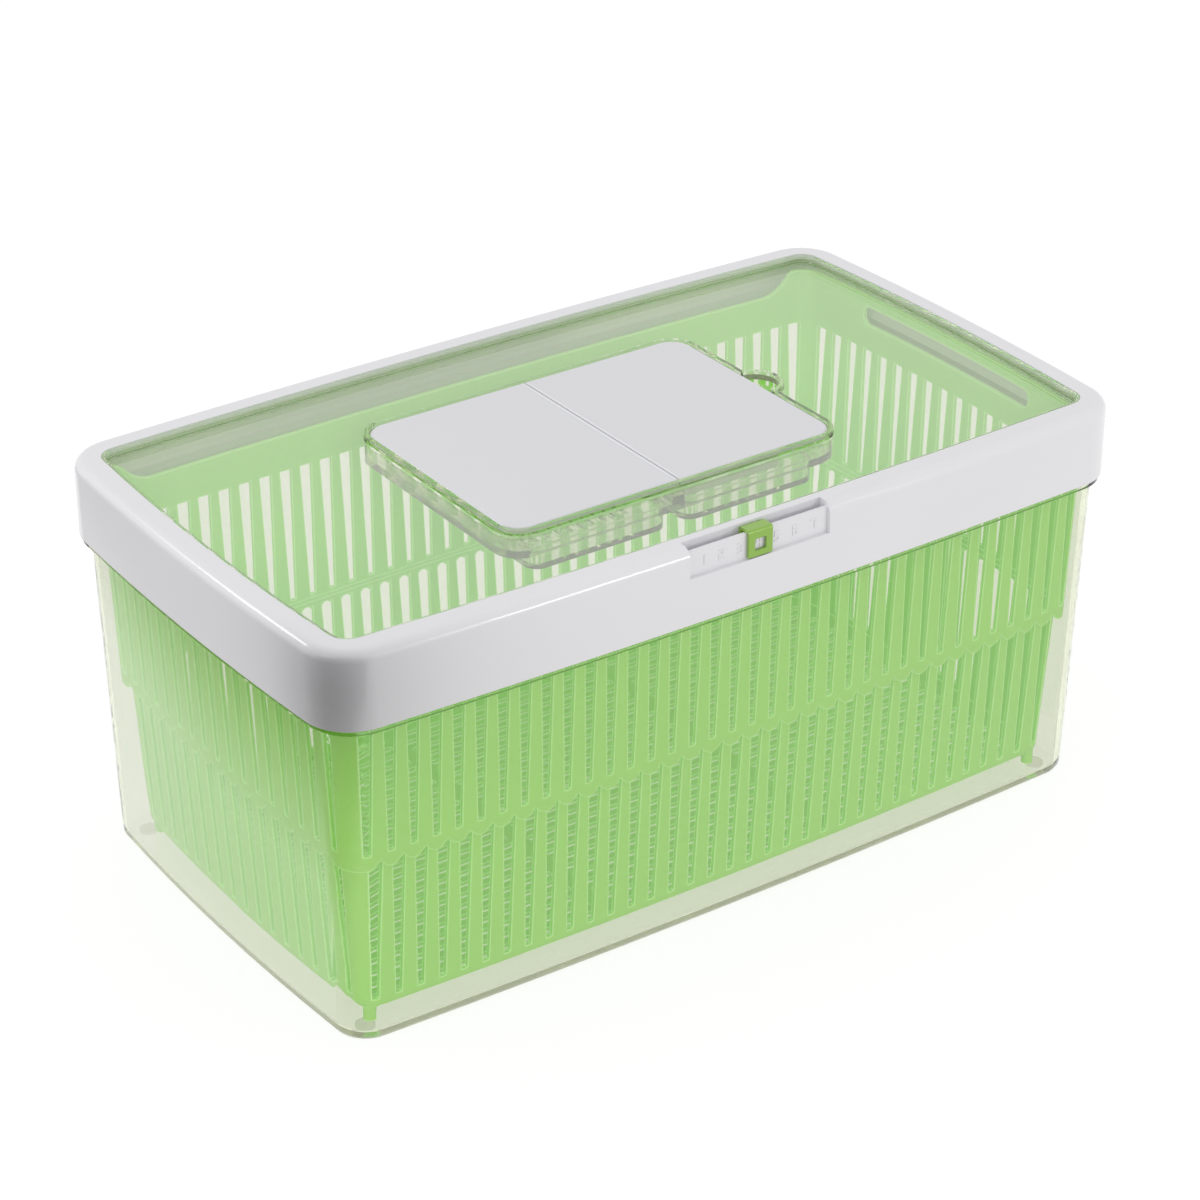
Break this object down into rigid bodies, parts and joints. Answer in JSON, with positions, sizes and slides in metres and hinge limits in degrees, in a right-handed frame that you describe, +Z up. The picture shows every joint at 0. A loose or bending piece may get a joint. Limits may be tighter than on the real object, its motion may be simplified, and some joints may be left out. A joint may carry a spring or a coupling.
{
  "type": "produce keeper",
  "caption": "Clear produce box with a slotted two-tier basket inside and a deep white lid with a window, a filter well, a flip-up door and a sliding day clip.",
  "frame": {"origin": "on the surface the feet stand on, under the middle of the lid", "axes": "+X along the length, -Y towards the day rail at the front, +Z up"},
  "size_m": [0.32, 0.18, 0.1465],
  "materials": {
    "container": "clear moulded plastic",
    "container_feet": "clear moulded plastic",
    "basket": "light green translucent plastic",
    "lid_frame": "white gloss",
    "lid_window": "clear moulded plastic",
    "lid_seal": "pale soft rubber",
    "filter_well": "clear moulded plastic",
    "filter_cover": "white satin",
    "filter_door": "white satin",
    "filter_cartridge": "white matte",
    "carbon_pad": "dark felted pad",
    "day_clip": "green satin"
  },
  "bodies": {
    "container": {"container": "container", "container_feet": "container_feet"},
    "basket": {"basket": "basket"},
    "lid": {"lid_frame": "lid_frame", "lid_window": "lid_window", "lid_seal": "lid_seal", "filter_well": "filter_well", "filter_cover": "filter_cover", "filter_cartridge": "filter_cartridge", "carbon_pad": "carbon_pad"},
    "filter_door": {"filter_door": "filter_door"},
    "day_clip": {"day_clip": "day_clip"}
  },
  "joints": [
    {"name": "basket_lift", "type": "slide", "parent": "container", "child": "basket", "axis": [0, 0, 1], "range_m": [0, 0.14]},
    {"name": "lid_lift", "type": "slide", "parent": "basket", "child": "lid", "axis": [0, 0, 1], "range_m": [0, 0.04]},
    {"name": "door_hinge", "type": "hinge", "parent": "lid", "child": "filter_door", "pos_m": [0, 0, 0.1449], "axis": [0, -1, 0], "range_deg": [0, 110]},
    {"name": "clip_slide", "type": "slide", "parent": "lid", "child": "day_clip", "axis": [1, 0, 0], "range_m": [-0.022, 0.022]}
  ]
}
